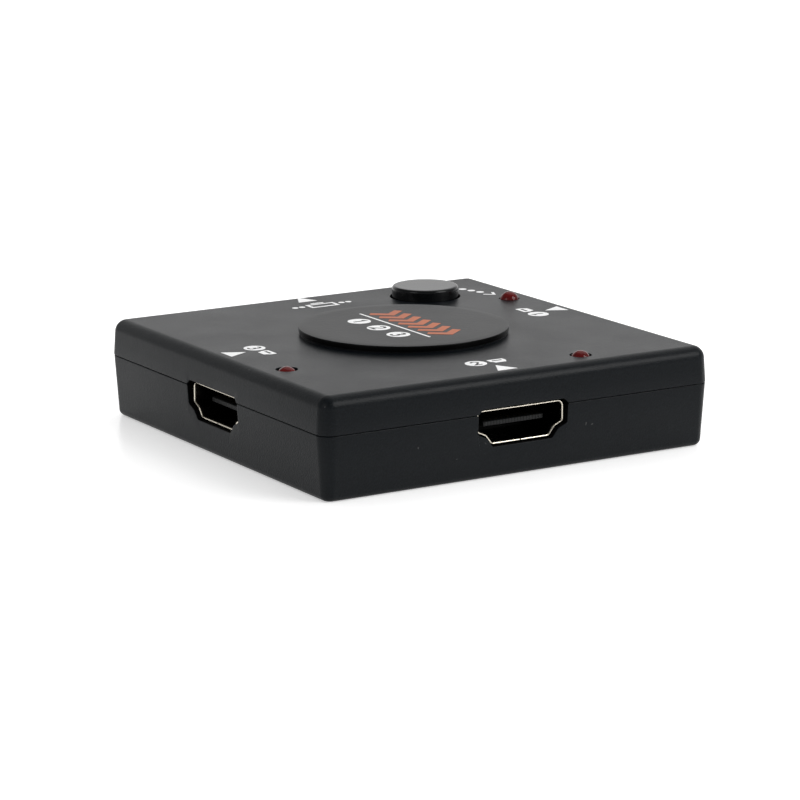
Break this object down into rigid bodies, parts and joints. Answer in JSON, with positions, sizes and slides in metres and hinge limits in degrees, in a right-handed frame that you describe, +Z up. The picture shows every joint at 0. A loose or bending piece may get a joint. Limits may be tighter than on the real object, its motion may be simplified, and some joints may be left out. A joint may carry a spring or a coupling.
{
  "type": "video switch box",
  "caption": "Low square video switch box in a round-edged case, with a plug socket in each side, red indicator lamps, a raised round badge and a sprung select button.",
  "frame": {"origin": "on the table, under the middle of the case", "axes": "+Z up, -Y out of the front with the second input, +X out of the side with the first input"},
  "size_m": [0.065, 0.065, 0.0166],
  "materials": {
    "case_plastic": "fine matt texture, black",
    "badge_plastic": "satin black face with a glossy edge",
    "button_plastic": "satin black",
    "switch_plastic": "plain moulded",
    "switch_metal": "stamped sheet",
    "tinned_metal": "tinned",
    "lamp_red": "clear red epoxy",
    "socket_nickel": "bright nickel plate",
    "socket_plastic": "plain moulded, black",
    "contact_gold": "thin gold plate",
    "board_green": "solder mask",
    "chip_plastic": "moulded package",
    "ceramic_tan": "fired ceramic with tinned ends",
    "ceramic_dark": "fired ceramic with tinned ends"
  },
  "bodies": {
    "case": {"top_shell": "case_plastic", "bottom_shell": "case_plastic", "badge_disc": "badge_plastic", "tact_base": "switch_plastic", "tact_cover": "switch_metal", "tact_dome": "switch_metal", "tact_terminals": "tinned_metal", "lamp_1_lens": "lamp_red", "lamp_2_lens": "lamp_red", "lamp_3_lens": "lamp_red", "lamp_1_leads": "tinned_metal", "lamp_2_leads": "tinned_metal", "lamp_3_leads": "tinned_metal", "input_1_shell": "socket_nickel", "input_1_insulator": "socket_plastic", "input_1_contacts": "contact_gold", "input_2_shell": "socket_nickel", "input_2_insulator": "socket_plastic", "input_2_contacts": "contact_gold", "input_3_shell": "socket_nickel", "input_3_insulator": "socket_plastic", "input_3_contacts": "contact_gold", "output_shell": "socket_nickel", "output_insulator": "socket_plastic", "output_contacts": "contact_gold", "circuit_board": "board_green", "mux_chip": "chip_plastic", "mux_chip_leads": "tinned_metal", "selector_chip": "chip_plastic", "selector_chip_leads": "tinned_metal", "regulator": "chip_plastic", "regulator_leads": "tinned_metal", "power_diodes": "chip_plastic", "chip_capacitors": "ceramic_tan", "chip_resistors": "ceramic_dark"},
    "button": {"select_button": "button_plastic", "tact_plunger": "switch_plastic"}
  },
  "joints": [
    {"name": "button_press", "type": "slide", "parent": "case", "child": "button", "axis": [0, 0, -1], "range_m": [0, 0.00025], "stiffness_N_per_m": 6000, "deforming": ["tact_dome"]}
  ]
}
